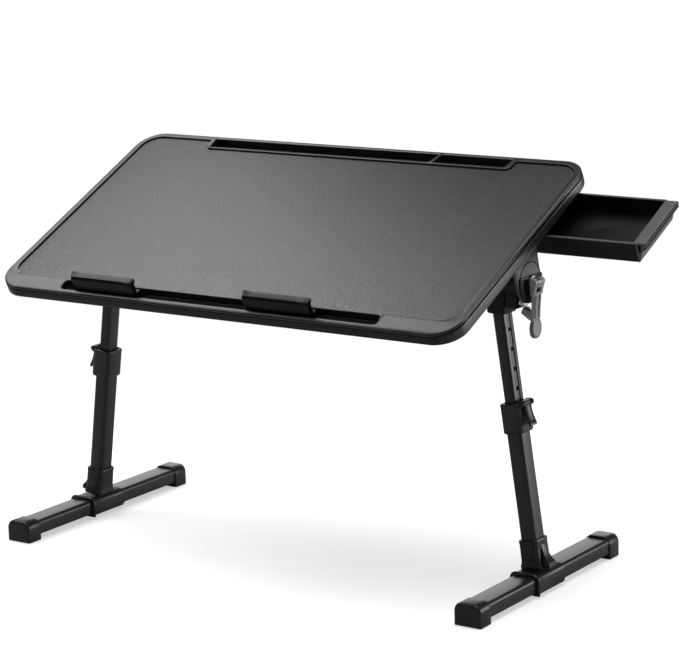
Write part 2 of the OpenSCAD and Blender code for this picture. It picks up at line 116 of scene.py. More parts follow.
def inset(loop, d):
    """Every point moves inwards along its mitre, by d over the cosine of half the turn."""
    on, back = unit(np.roll(loop, -1, 0) - loop), unit(loop - np.roll(loop, 1, 0))
    area = (loop[:, 0] * np.roll(loop[:, 1], -1) - loop[:, 1] * np.roll(loop[:, 0], -1)).sum()
    mitre = unit(col(-on[:, 1] - back[:, 1], on[:, 0] + back[:, 0])) * np.sign(area)
    spread = np.sqrt(np.clip((1 + (on * back).sum(1)) / 2, 0.25, 1))
    return loop + mitre * (d / spread)[:, None]


def level(loop, h, axis="z"):
    """A flat outline laid in space at one height along an axis."""
    a, b, h = loop[:, 0], loop[:, 1], np.full(len(loop), float(h))
    return {"z": col(a, b, h), "x": col(h, a, b), "y": col(a, h, b)}[axis]


def skin(rings, loop=False, ends=True, around=True):
    """Quads between neighbouring rings; point j of ring i is number i * n + j."""
    r = np.asarray(rings, float)
    m, n = r.shape[:2]
    i, j = np.meshgrid(np.arange(m if loop else m - 1), np.arange(n if around else n - 1), indexing="ij")
    down, side = (i + 1) % m, (j + 1) % n
    faces = col(i * n + j, i * n + side, down * n + side, down * n + j).astype(int).reshape(-1, 4).tolist()
    if ends and not loop:
        faces += [list(range(n))[::-1], list(range((m - 1) * n, m * n))]
    return r.reshape(-1, 3), faces


def gather(*shapes):
    """Several closed shapes as one list of points and faces."""
    points, faces, base = [], [], 0
    for p, f in shapes:
        points.append(p)
        faces += [[k + base for k in face] for face in f]
        base += len(p)
    return np.concatenate(points), faces


def moved(shape, by):
    return shape[0] + np.asarray(by, float), shape[1]


def stack(loop, rows, axis="z"):
    """The outline at several heights, each with its own inset."""
    return [level(inset(loop, a), h, axis) for a, h in rows]


def crowded(length, r0, r1, n, steps):
    """Distances along a length, closer in the round corners at its two ends, where they are r (1 - cos t)."""
    t = np.linspace(0, math.pi / 2, steps)
    middle = np.linspace(r0, length - r1, n)[1:-1]
    return np.concatenate([r0 * (1 - np.cos(t)), middle, length - r1 * (1 - np.cos(t[::-1]))])


def evenly(loop, n):
    """The closed outline again, with n points evenly spaced along it."""
    shut = np.concatenate([loop, loop[:1]])
    far = np.concatenate([[0], np.cumsum(np.hypot(*np.diff(shut, axis=0).T))])
    k = np.linspace(0, far[-1], n + 1)[:-1]
    return col(np.interp(k, far, shut[:, 0]), np.interp(k, far, shut[:, 1]))


def eased(loop, low, high, e, axis="z"):
    """Prism with quarter-round edges: the outline is inset by e (1 - sin t) while the height runs
    e (1 - cos t)."""
    t = np.linspace(0, math.pi / 2, 4)
    ins, rise = e * (1 - np.sin(t)), e * (1 - np.cos(t))
    below, above = zip(ins, low + rise), zip(ins[::-1], high - rise[::-1])
    return skin(stack(loop, below, axis) + stack(loop, above, axis))


def twins(loop, at, half, e):
    """Two like prisms whose middles lie at equal distances to either side along Y."""
    return [eased(loop, y - half, y + half, e, "y") for y in (-at, at)]


def hollow(outer, inner, low, high, e, axis="z"):
    """Tube between two outlines with the same number of points, its four edges broken by e."""
    rings = stack(outer, ((0, low + e), (0, high - e), (e, high)), axis)
    rings += stack(inner, ((-e, high), (0, high - e), (0, low + e), (-e, low)), axis)
    return skin(rings + stack(outer, ((e, low),), axis), loop=True)


def turned(profile, steps, axis, closed=False):
    """Surface of revolution: radius and height of the profile turned about the axis."""
    p = np.asarray(profile, float)
    t = np.arange(steps) * 2 * math.pi / steps
    r, h = p[:, :1], p[:, 1:]
    a, b, h = r * np.cos(t), r * np.sin(t), np.broadcast_to(h, (len(p), steps))
    return skin({"x": col(h, a, b), "y": col(a, h, b), "z": col(a, b, h)}[axis], loop=closed)


def pin(r, half, steps=24):
    """Rod along Y with chamfered ends."""
    end = [(0.01, half), (r - 0.28, half), (r, half - 0.3)]
    return turned([(a, -b) for a, b in end] + end[::-1], steps, "y")


def bead(points, radius, sides=10):
    """Round bar along a path: circles across the path's direction."""
    p = np.asarray(points, float)
    along = unit(np.gradient(p, axis=0))
    side = unit(np.cross(along, [0.3, 0.2, 0.93]))
    up = np.cross(side, along)
    t = np.arange(sides) * 2 * math.pi / sides
    r = np.broadcast_to(np.asarray(radius, float), len(p))[:, None, None]
    return skin(p[:, None] + r * (side[:, None] * np.cos(t)[:, None] + up[:, None] * np.sin(t)[:, None]))


# ---------- places ----------

def on_desk(p):
    """Desktop's own frame, tipped by the tilt about X."""
    u, v, w = p[..., 0], p[..., 1], p[..., 2]
    c, s = math.cos(TILT), math.sin(TILT)
    return col(MID[0] + u, MID[1] + DESK[0] + v * c - w * s, DESK[1] + v * s + w * c)


def beside(x, y, z):
    """Place on the right-hand side, measured from the middle."""
    return lambda p: p + [MID[0] + x, MID[1] + y, z]


at_axis, at_pin = beside(PIN_X, BODY_Y, AXIS_Z), beside(PIN_X, BODY_Y, PIN_Z)
at_foot = beside(FOOT_X, 0, 0)


def down_leg(p):
    """Third coordinate runs down the leg from the fold pin."""
    x, y, s = p[..., 0], p[..., 1], p[..., 2]
    c, a = math.cos(SPLAY), math.sin(SPLAY)
    return col(MID[0] + PIN_X + s * a + x * c, MID[1] + BODY_Y - y, PIN_Z - s * c + x * a)


def other_side(p):
    """Mirrored to the left-hand side."""
    return p * [-1, 1, 1] + [2 * MID[0], 0, 0]


# ---------- pieces ----------

def linked(name, data):
    """New object in the scene."""
    obj = bpy.data.objects.new(name, data)
    bpy.context.scene.collection.objects.link(obj)
    return obj


def piece(name, shape, finish, body, stands_for, place, sharp=32):
    """Mesh object in its place, welded, facing outwards, smooth but for edges sharper than the angle."""
    points, faces = shape
    mesh = bpy.data.meshes.new(name)
    mesh.from_pydata((place(points) / 1000).tolist(), [], faces)
    work = bmesh.new()
    work.from_mesh(mesh)
    bmesh.ops.remove_doubles(work, verts=work.verts, dist=WELD)
    bmesh.ops.dissolve_degenerate(work, edges=work.edges, dist=WELD / 2)
    bmesh.ops.recalc_face_normals(work, faces=work.faces)
    work.to_mesh(mesh)
    work.free()
    mesh.polygons.foreach_set("use_smooth", np.ones(len(mesh.polygons), bool))
    obj = linked(name, mesh)
    for one in finish if isinstance(finish, list) else [finish]:
        mesh.materials.append(one)
    mesh.set_sharp_from_angle(angle=math.radians(sharp))
    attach(obj, body)
    if stands_for:
        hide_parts(*([stands_for] if isinstance(stands_for, str) else stands_for))
    return obj


def choose_finish(obj, chosen):
    """Each face takes the finish whose number is worked out from its middle in the desktop's own frame."""
    at = np.empty(3 * len(obj.data.polygons))
    obj.data.polygons.foreach_get("center", at)
    x, y, z = 1000 * at.reshape(-1, 3).T
    c, s = math.cos(TILT), math.sin(TILT)
    y, z = y - MID[1] - DESK[0], z - DESK[1]
    number = chosen(x - MID[0], y * c + z * s, z * c - y * s)
    obj.data.polygons.foreach_set("material_index", number.astype(np.int32))


def pair(name, shape, finish, body, nodes, place, sharp=32):
    """The same piece on the right and, mirrored, on the left."""
    for side, where in (("right", place), ("left", lambda p: other_side(place(p)))):
        piece(f"{name}_{side}", shape, finish, f"{body}_{side}", [f"{n}_{side}" for n in nodes],
              where, sharp)


# ---------- finishes ----------

class Wire:
    """A socket's value; arithmetic on it adds Math nodes."""

    def __init__(self, nodes, socket):
        self.nodes, self.socket = nodes, socket

    def _math(self, operation, a, b):
        return self.nodes.add("Math", {0: a, 1: b}, operation=operation)

    def __add__(self, other): return self._math("ADD", self, other)
    def __radd__(self, other): return self._math("ADD", other, self)
    def __sub__(self, other): return self._math("SUBTRACT", self, other)
    def __rsub__(self, other): return self._math("SUBTRACT", other, self)
    def __mul__(self, other): return self._math("MULTIPLY", self, other)
    def __rmul__(self, other): return self._math("MULTIPLY", other, self)


class Nodes:
    """The emptied node tree of a material or of the world."""

    def __init__(self, owner):
        owner.use_nodes = True
        self.tree = owner.node_tree
        self.tree.nodes.clear()

    def add(self, kind, inputs=None, out=0, **settings):
        """Any node: its settings first, then the values or links of its sockets."""
        node = self.tree.nodes.new("ShaderNode" + kind)
        for key, value in settings.items():
            if key == "stops":
                ramp = node.color_ramp
                while len(ramp.elements) < len(value):
                    ramp.elements.new(0.5)
                for stop, (where, shade) in zip(ramp.elements, value):
                    stop.position, stop.color = where, (shade, shade, shade, 1)
            else:
                setattr(node, key, value)
        for key, value in (inputs or {}).items():
            if isinstance(value, Wire):
                self.tree.links.new(value.socket, node.inputs[key])
            else:
                node.inputs[key].default_value = value
        return Wire(self, node.outputs[out]) if node.outputs else None


class Finish(Nodes):
    """A material under construction: even values go straight onto the shader's sockets."""

    def __init__(self, name, color, rough, **even):
        self.material = bpy.data.materials.new(name)
        super().__init__(self.material)
        self.material.diffuse_color = (*color, 1)
        even = {key.replace("_", " "): value for key, value in even.items()}
        shader = self.add("BsdfPrincipled", {"Base Color": (*color, 1), "Roughness": rough, **even})
        self.add("OutputMaterial", {"Surface": shader})
        self.shader, self.color, self.rough = shader.socket.node, color, rough
        self.place = self.add("TexCoord", out="Object")

    def feed(self, socket, wire):
        self.tree.links.new(wire.socket, self.shader.inputs[socket])

    def noise(self, scale, detail=3.0, rough=0.55, stretch=None):
        place = self.place
        if stretch:
            place = self.add("Mapping", {"Vector": place, "Scale": stretch})
        return self.add("TexNoise", {"Vector": place, "Scale": scale, "Detail": detail, "Roughness": rough})

    def cells(self, scale, feature="F1"):
        return self.add("TexVoronoi", {"Vector": self.place, "Scale": scale}, "Distance", feature=feature)

    def ramp(self, wire, *stops):
        return self.add("ValToRGB", {0: wire}, stops=stops)

    def shade(self, mask, spread):
        """Base colour that varies about its own value: sockets 6 and 7 of the mix are its two colours."""
        low, high = ([c * (1 + k) for c in self.color] + [1] for k in (-spread, spread))
        self.feed("Base Color", self.add("Mix", {0: mask, 6: low, 7: high}, 2, data_type="RGBA"))

    def gloss(self, mask, spread):
        """Roughness about its own value."""
        self.feed("Roughness", mask * (2 * spread) + (self.rough - spread))

    def relief(self, height, depth, strength):
        """Bump whose height is given in millimetres."""
        bump = {"Height": height, "Distance": depth / 1000, "Strength": strength}
        self.feed("Normal", self.add("Bump", bump))


def pebbled_leather():
    """Rounded pebbles about 2 mm across with fine creases between them."""
    f = Finish("pebbled_leather", (0.011, 0.011, 0.0118), 0.33)
    pebble = f.cells(480, "SMOOTH_F1")
    creases = f.cells(480, "DISTANCE_TO_EDGE")
    fine = f.noise(2600, 2)
    cloud = f.noise(9, 3)
    height = f.ramp(creases, (0.0, 0.0), (0.22, 1.0)) * 0.6 + (1 - pebble) * 0.4 + fine * 0.25
    f.relief(height, 0.14, 1.0)
    f.shade(cloud * 0.6 + fine * 0.4, 0.22)
    f.gloss(cloud * 0.5 + fine * 0.5, 0.05)
    return f.material


def satin(name, color, rough, grain, depth, gleam):
    """Moulded or painted surface: fine grain, a slow drift of gloss, and faint handling marks. The gleam is
    the shader's specular level."""
    f = Finish(name, color, rough, Specular_IOR_Level=gleam)
    fine = f.noise(grain, 2)
    slow = f.noise(14, 3)
    marks = f.noise(90, 4, 0.65)
    f.relief(fine * 0.7 + marks * 0.5, depth, 0.6)
    f.shade(slow * 0.6 + fine * 0.4, 0.12)
    f.gloss(slow * 0.5 + marks * 0.5, 0.04)
    return f.material


def textured(name, color, rough, cell, depth, gleam):
    """Spark-eroded grain: small cells broken up by noise."""
    f = Finish(name, color, rough, Specular_IOR_Level=gleam)
    cells = f.cells(cell, "SMOOTH_F1")
    fine = f.noise(3000, 3)
    slow = f.noise(22, 3)
    f.relief((1 - cells) * 0.6 + fine * 0.6, depth, 0.8)
    f.shade(fine * 0.5 + slow * 0.5, 0.22)
    f.gloss(slow, 0.05)
    return f.material


def plated(name, color, rough, stretch):
    """Bright metal with fine lines along one direction."""
    f = Finish(name, color, rough, Metallic=1.0)
    lines = f.noise(1400, 3, 0.6, stretch)
    spots = f.noise(160, 3)
    f.relief(lines, 0.02, 0.5)
    f.shade(spots, 0.12)
    f.gloss(lines * 0.6 + spots * 0.4, 0.08)
    return f.material


def laminate():
    """White laminate: very faint mottling and an orange-peel gloss."""
    f = Finish("white_laminate", (0.78, 0.78, 0.77), 0.38)
    peel = f.noise(420, 2)
    slow = f.noise(7, 2)
    f.relief(peel, 0.03, 0.4)
    f.shade(slow * 0.7 + peel * 0.3, 0.03)
    f.gloss(peel, 0.05)
    return f.material


LEATHER = pebbled_leather()
RIM = satin("satin_rim", (0.005, 0.005, 0.0054), 0.34, 2600, 0.02, 0.5)
SHADED_BANDS = [satin(f"edge_band_shade_{k}", (c, c, c * 1.03), 0.36 + 0.015 * k, 2200, 0.05, 0.62 - 0.115 * k)
         for k, c in enumerate((0.014, 0.012, 0.010, 0.008, 0.006))]      # darker and less glossy towards the front: painted shade
HOUSING = satin("drawer_plastic", (0.004, 0.004, 0.0042), 0.42, 1800, 0.05, 0.2)
DRAWER_EDGE = satin("drawer_front", (0.07, 0.07, 0.072), 0.36, 1900, 0.05, 0.4)
SADDLE = textured("saddle_grain", (0.04, 0.04, 0.041), 0.5, 900, 0.12, 0.5)
BASE = textured("bracket_base", (0.008, 0.008, 0.0085), 0.45, 1200, 0.08, 0.5)
BLACK = satin("head_enamel", (0.003, 0.003, 0.0032), 0.36, 1800, 0.03, 0.14)
TUBE = satin("powder_coat", (0.009, 0.009, 0.0093), 0.33, 1500, 0.05, 0.36)
MOULDED = textured("moulded_black", (0.006, 0.006, 0.0062), 0.36, 1500, 0.06, 0.36)
# The stopper's black plastic in two copies: the lip lighter and glossier as a painted highlight, the rest
# darker and duller as painted shade
STOPPER = satin("stopper_plastic", (0.003, 0.003, 0.0032), 0.32, 2000, 0.03, 0.12)
LIT_LIP = satin("stopper_lip_lit", (0.006, 0.006, 0.0062), 0.32, 2000, 0.03, 0.28)
CAP = satin("soft_cap", (0.007, 0.007, 0.0072), 0.34, 1400, 0.04, 0.3)
GREY = textured("grey_lever_plastic", (0.17, 0.17, 0.172), 0.38, 1500, 0.05, 0.8)
PADDLE = textured("paddle_rim", (0.075, 0.075, 0.076), 0.4, 1500, 0.05, 0.6)
PADDLE_FACE = textured("paddle_face", (0.2, 0.2, 0.202), 0.42, 1500, 0.05, 0.5)
STEEL = plated("bright_plate", (0.72, 0.72, 0.73), 0.24, (1, 1, 9))
TOOTHED = plated("toothed_washer", (0.55, 0.55, 0.56), 0.3, (9, 1, 1))
LAMINATE = laminate()


# ---------- desktop frame ----------

def station(ou, ov, iu, iv, fall=0.0, c0=4.0, c1=5.6, cut=0.0, floor=0.0, under=-4.0):
    """One cross-section of the frame: outer point, inner point, fall of the outer edge, and its channel."""
    return np.array([ou, ov, iu, iv, fall, c0, c1, cut, floor, under], float)


def run(a, b, n):
    """Stations spread evenly between two."""
    return np.linspace(a, b, n)


def corner(out_at, out_r, in_at, in_r, start, end, n):
    """Stations round a corner: both points turn by the same angle about their own centres."""
    t = np.linspace(math.radians(start), math.radians(end), n)
    s = np.repeat(station(0, 0, 0, 0)[None], n, 0)
    s[:, 0:2] = np.array(out_at) + out_r * col(np.cos(t), np.sin(t))
    s[:, 2:4] = np.array(in_at) + in_r * col(np.cos(t), np.sin(t))
    return s


def channel(a, b, n, r0, r1, steps=6):
    """Open channel between two stations, with corners of radius r0 and r1 and upright end walls: near an
    end the side walls close in by r (1 - sin t) at the distance r (1 - cos t)."""
    a, b = a.copy(), b.copy()
    a[7] = b[7] = 1
    length = np.hypot(*(b[:2] - a[:2]))
    t = np.linspace(0, math.pi / 2, steps)
    close = np.concatenate([r0 * (1 - np.sin(t)), np.zeros(n - 2), r1 * (1 - np.sin(t[::-1]))])
    s = a + crowded(length, r0, r1, n, steps)[:, None] / length * (b - a)
    s[:, 5] += close
    s[:, 6] -= close
    first, last = s[:1].copy(), s[-1:].copy()
    first[:, 7] = last[:, 7] = 0
    return np.concatenate([first, s, last])


def all_round(plain, full, rear, front, out=0.0, back=0.0):
    """Stations round the desktop: right side, corner, the rear stations, corner, left side, corner, the
    front stations, corner. Outer points stand out by one distance and inner points back by another, and
    round the front corners the profile goes from plain to full by t t (3 - 2 t)."""
    (u, v), outer, inner = CORNER, CORNER_R + out, INSIDE_R + back
    plain, full = station(0, 0, 0, 0, **plain), station(0, 0, 0, 0, **full)
    t = np.linspace(0, 1, 20)
    blend = (t * t * (3 - 2 * t))[:, None]

    def side(hand, ends):
        at = [[hand * (u + outer), end * v, hand * (u + inner), v if end > 0 else FRONT_V] for end in ends]
        return run(*(np.concatenate([four, plain[4:]]) for four in at), 14)

    def rear_corner(hand, start):
        s = corner((hand * u, v), outer, (hand * u, v), inner, start, start + 90, 18)
        s[:, 4:] = plain[4:]
        return s

    def front_corner(hand, start, part):
        s = corner((hand * u, -v), outer, (hand * u, FRONT_V), inner, start, start + 90, 20)
        s[:, 4:] = plain[4:] + part * (full - plain)[4:]
        return s
    return np.concatenate([
        side(1, (-1, 1)), rear_corner(1, 0), *rear, rear_corner(-1, 90),
        side(-1, (1, -1)), front_corner(-1, 180, blend), *front, front_corner(1, 270, blend[::-1])])


def trough_end(bend, nose, start, end):
    """Stations whose inner points follow a fillet and the round end of the trough."""
    (bu, bv, br, b0, b1), (nu, nv, nr, n0, n1) = bend, nose
    t, k = np.radians(np.linspace(b0, b1, 7)), np.radians(np.linspace(n0, n1, 9))
    parts = [col(bu + br * np.cos(t), bv + br * np.sin(t)), col(nu + nr * np.cos(k), nv + nr * np.sin(k))]
    inner = np.concatenate(parts if start[0] > 0 else parts[::-1])
    s = run(start, end, len(inner))
    s[:, 2:4] = inner
    return s


def frame_stations():
    """The frame's own stations: the trough at the rear, in two compartments, and the slot in front."""
    trough = dict(c0=6.0, c1=22.0, floor=-9.5, under=-11.5)
    slot = dict(fall=1.0, c0=5.4, c1=19.6, floor=-7.5, under=-9.6)
    solid = dict(slot, under=-4.0)
    y = HALF_D

    def rear(a, b, **more):
        return station(a, y, b, REAR_V, **more)

    def inside(a, b):
        return station(a, y, b, TROUGH_V, **trough)

    def front(u, kind):
        return station(u, -y, u, RAIL_V, **kind)
    return all_round({}, solid, [
        run(rear(270, 270), rear(218, 216), 5),
        trough_end((216, 145.5, 4, 90, 180), (204.5, 140.6, 7.5, 0, -90),
                   rear(217, 0), rear(208.6, 0, **trough)),
        channel(inside(208.3, 203.6), inside(118.7, 111.2), 14, 2.2, 1.6),
        channel(inside(115.3, 107.0), inside(-195.5, -195.3), 34, 1.6, 2.2),
        trough_end((-203.6, 146, 3.5, 0, 90), (-193.6, 139.6, 6.5, -90, -180),
                   rear(-196, 0, **trough), rear(-204.6, 0)),
        run(rear(-206, -206), rear(-270, -270), 6)
    ], [
        run(front(-262, solid), front(-211, solid), 6),
        channel(front(-209, slot), front(208, slot), 60, 5.0, 5.0, 8),
        run(front(211, solid), front(262, solid), 6)])


def carried(s, rows):
    """Closed profile carried round the stations: each row gives a distance in from the outer point, along
    the line to the inner one, and a height."""
    d, w = (np.stack([np.broadcast_to(row[i], len(s)) for row in rows], -1) for i in (0, 1))
    along = unit(s[:, 2:4] - s[:, 0:2])
    plan = s[:, None, 0:2] + d[..., None] * along[:, None]
    return skin(np.concatenate([plan, w[..., None]], -1), loop=True)


def top_frame():
    """Rim, front rail and trough as one moulding. Its outer edge is a quarter ellipse that grows larger at
    the front, where the strip outside the slot falls away, and each channel has slightly rounded lips."""
    s = frame_stations()
    fall, c0, c1, cut, floor, under = s[:, 4:].T
    length = np.hypot(s[:, 2] - s[:, 0], s[:, 3] - s[:, 1])
    edge_top = TOP - 1.9 * fall
    rx, ry = 3.2 + 1.5 * fall, 1.8 + 1.2 * fall
    foot = -1.1 - 2.6 * fall        # the outer edge stops here, over a black strip that stands in for the groove's shadow: painted shade
    deep = np.where(under < -4.5, under, -4.0)
    rows = [(1.5, -4.0), (1.5, foot), (0.25, foot), (0, foot + 0.25)]
    rows += [(rx * (1 - math.cos(a)), edge_top - ry * (1 - math.sin(a)))
             for a in np.linspace(0, math.pi / 2, 9)]
    wall = ((-0.5, 0.0), (-0.15, 0.018), (0.0, 0.06), (0.0, 0.93), (0.8, 1.0))
    rows += [(c0 + off, edge_top - cut * (edge_top - floor) * part) for off, part in wall]
    rows += [(c1 - off, TOP - cut * (TOP - floor) * part) for off, part in wall[::-1]]
    rows += [(length - off, h) for off, h in
             ((0.3, TOP), (0.08, TOP - 0.08), (0, TOP - 0.3), (0, -1.6), (0, deep))]
    rows += [(np.minimum(c1 + 2, length - 0.01), deep), (np.maximum(c0 - 1.6, 3.2), deep), (3.1, -4.05)]
    return carried(s, rows)


def leather_sheet():
    """Sheet inside the frame's inner edge: its edge rolls down over 1.6 mm, and its middle is flat."""
    line = frame_stations()[:, 2:4]
    line = line[np.hypot(*(line - np.roll(line, 1, 0)).T) > 0.05]       # without repeated points
    return skin(stack(line, ((0.75, -1.3), (0.7, -0.75), (0.85, -0.4), (1.15, -0.16), (1.6, -0.04), (2.3, 0))))


def edge_band():
    """Band below the rim: a soft outward curve, set back under a groove at its top, with two pockets
    in the wide front part."""
    out, gap = 0.2, 0.6             # stands out from the rim, and ends short of the board
    y, inner = HALF_D + out, REAR_V + gap
    slim = dict(c0=4.2, c1=4.9)
    wide = dict(fall=1.0, c0=7.0, c1=18.0)

    def rear(a, b, v, n):
        return run(station(a, y, a, v, **slim), station(b, y, b, v, **slim), n)

    def front(u):
        return station(u, -y, u, RAIL_V - gap, **wide)
    s = all_round(
        slim, wide, [rear(270, 222, inner, 5), rear(214, -208, 154.3, 24), rear(-216, -270, inner, 5)],
        [channel(front(-262), front(-193), 12, 3, 3), run(front(-190), front(190), 24),
         channel(front(193), front(262), 12, 3, 3)], out, gap)
    broad, p0, p1, cut = s[:, 4:8].T
    length = np.hypot(s[:, 2] - s[:, 0], s[:, 3] - s[:, 1])
    base, roof = -16 + 0.9 * broad, -4.25 - 5.7 * broad
    rows = [(a, h + 0.9 * broad * np.clip((-4.6 - h) / 9, 0, 1)) for a, h in
            ((3.2, -4.2), (1.4, -4.2), (0.4, -4.2), (0.14, -4.3), (0.03, -4.6), (0.0, -5.2), (0, -8.4),
             (0, -12.2), (0.12, -13.4), (0.5, -14.5), (1.1, -15.3), (1.9, -15.8), (2.9, -16.0))]
    pocket = ((0.3, 0.0), (0.0, 0.3), (0.0, 4.9))
    rows += [(p0 - off, base + h * cut) for off, h in pocket]
    rows += [(p1 + off, base + h * cut) for off, h in pocket[::-1]]
    rows += [(length - 0.5, base), (length, base + 0.5), (length, roof), (3.25, roof)]
    return carried(s, rows)


piece("top_frame", top_frame(), RIM, "desktop", ["side_rims", "front_rail", "rear_trough"],
      on_desk, 38)
# Black strip in the groove between rim and band: painted shade, a dark sheet where the groove's shadow falls
strip = stack(box_loop(600, 2 * HALF_D, CORNER_R, 24), ((0.8, -1.0), (0.8, -4.3), (3.0, -4.3), (3.0, -1.0)))
piece("groove_shadow_strip", skin(strip, loop=True), BLACK, "desktop", None, on_desk)
band = piece("edge_band", edge_band(), SHADED_BANDS, "desktop",
             ["side_bands", "front_band", "rear_band"], on_desk, 38)
choose_finish(band, lambda u, v, w: sum(v < -far for far in (134, 143, 150, 155.5)))   # higher numbers, darker copies, in front: painted shade
piece("leather_sheet", leather_sheet(), LEATHER, "desktop", "leather_top", on_desk, 40)


# ---------- stoppers ----------

def stopper(middle):
    """Hook section carried along X: a foot in the slot, an upright face, a small chamfer and a lip that
    leans back. The lip's front swells into an ear at the right end and its rear edge lifts at the left
    end; both ends are rounded off over r, where the section closes in by 2.6 (1 - sqrt(1 - n n))."""
    section = rounded([(-5.7, -6.9), (5.7, -6.9), (5.7, 0.9), (-3.0, 0.9), (-2.2, 12.0),
                       (2.6, 15.9), (2.6, 18.4), (-4.2, 15.8), (-6.2, 13.2), (-6.2, 1.0)],
                      [0.8, 0.8, 0.5, 0.6, 2.2, 0.7, 0.9, 0.9, 0.7, 0.4], 4)
    long, r = 86, 3.2
    x = crowded(long, r, r, 36, 7)
    near = np.clip(1 - np.minimum(x, long - x) / r, 0, 1)
    pull = 2.6 * (1 - np.sqrt(1 - near ** 2))[:, None]
    v, w = section.T
    lip = np.clip((w - 14.5) / 3, 0, 1)
    k = np.clip((x - 68) / 12, 0, 1)
    ear = (k ** 2 * (3 - 2 * k))[:, None]
    lift = (np.clip((12 - x) / 12, 0, 1) ** 2)[:, None]
    vv = v + pull * -np.sign(v - 0.2) * np.clip(np.abs(v - 0.2) / 5, 0, 1) - 2.6 * ear * lip * (v < 0)
    ww = w - pull * 0.5 * (w > 14) + 1.4 * lift * lip * np.clip((v + 1) / 3, 0, 1)
    return skin(col((middle - long / 2 + x)[:, None], vv + SLOT_V, ww))


for side, middle in (("left", -147), ("right", 85)):
    bar = piece(f"stopper_bar_{side}", stopper(middle), [STOPPER, LIT_LIP], f"slider_{side}",
                f"stopper_{side}", on_desk, 42)
    choose_finish(bar, lambda u, v, w: (w > 14.6) & (v > SLOT_V - 5.2))      # the lip, but not its front, takes the lighter copy: a painted highlight


# ---------- drawer ----------

def tray():
    """Open box: nested round-cornered rectangles up the outside, over a thin rim and down the inside."""
    rings = []
    for grow, h in ((-2.4, -22.6), (-1.2, -22.3), (-0.5, -21.4), (-0.2, -20.0), (0, -2.6), (0, 0.0),
                    (-1.75, 0.0), (-2.0, -19.0), (-2.6, -20.1), (-3.8, -20.5)):
        outline = box_loop(194.2 + 2 * grow, 81.2 + 2 * grow, max(2.2 + grow, 0.5), 4, (302.1, TRAY_V))
        rings.append(level(outline, h - 22.0))
    return skin(rings)


def tray_edge():
    """Flange round the tray's mouth: a ring between two rectangles, its edges broken."""
    at = (302.2, TRAY_V)
    return hollow(box_loop(194.8, 81.8, 2.6, 5, at), box_loop(189.6, 76.6, 0.6, 5, at), -22.0, -20.4, 0.35)


def drawer_front():
    """Section carried front to back: upright plate, sloping panel and a top plate that rolls over into a lip;
    a triangular hollow runs through it."""
    t = np.linspace(0, 1, 9)
    roll = np.radians(np.linspace(100, -70, 9))
    lip = col(411.6 + 2.0 * np.cos(roll), -20.5 + 2.0 * np.sin(roll))
    outer = np.concatenate([
        [(400.0, -18.8), (404.5, -18.5), (409.0, -18.5)], lip,
        [(413.3, -24.4), (412.7, -25.2), (411.6, -25.3), (410.4, -24.4)],
        col(408.6 - 7.0 * t, -25.0 - 17.2 * t ** 1.06),
        [(400.9, -42.7), (400.1, -42.4)]])
    inner = rounded([(403.0, -20.4), (402.8, -35.0), (407.6, -21.0)], [0.5, 0.7, 0.8], 8)[::-1]
    inner = evenly(inner, len(outer))
    inner = np.roll(inner, -np.argmin(np.hypot(*(inner - outer[0]).T)), 0)
    a, b = 47.5, 127.0
    face = inset(outer, 0.35)
    return skin([level(loop, at, "y") for loop, at in
                 ((outer, a + 0.5), (outer, b - 0.5), (face, b), (inner, b), (inner, a), (face, a))], loop=True)


def housing():
    """Shallow case open at its right end: round-cornered sections from a closed left end to the mouth,
    then back along the inside."""
    def section(x, half, low, high, r):
        corners = [(TRAY_V + half, low), (TRAY_V + half, high), (TRAY_V - half, high), (TRAY_V - half, low)]
        return level(rounded(corners, [r, 0.3, 0.3, r], 6), x, "x")
    rings = [section(x, 44.8 + out, -46.4 - out, UNDER, r) for x, out, r in
             ((92.4, -3.0, 4.0), (92.2, -1.4, 5.0), (92.9, -0.4, 5.6), (94.0, 0, 6.0), (252.0, 0, 6.0),
              (266.0, -0.5, 5.6), (276.0, -0.9, 5.2), (277.0, -1.3, 5.0))]
    rings += [section(x, 42.6 + out, -45.3 - out, UNDER - 0.6 + out, 3.4) for x, out in
              ((277.0, 0.15), (276.3, 0.0), (94.5, 0.0))]
    return skin(rings)


piece("drawer_box", tray(), HOUSING, "drawer", "drawer_tray", on_desk, 40)
piece("tray_edge", tray_edge(), DRAWER_EDGE, "drawer", None, on_desk, 40)
pull = piece("drawer_pull", drawer_front(), [DRAWER_EDGE, HOUSING], "drawer", "drawer_front",
             on_desk, 34)
choose_finish(pull, lambda u, v, w: (u > 412.4) & (v > 49))     # the outward face of its lip is darker
piece("drawer_case", housing(), HOUSING, "desktop", "drawer_housing", on_desk, 40)


# ---------- tilt bracket ----------

def bracket_base():
    """Stamped plate with a round outline and eased edges."""
    return eased(box_loop(62.5, 76, 9, 7, (PIN_X + 2.25, AXIS_V)), UNDER - 2.5, UNDER, 0.7)


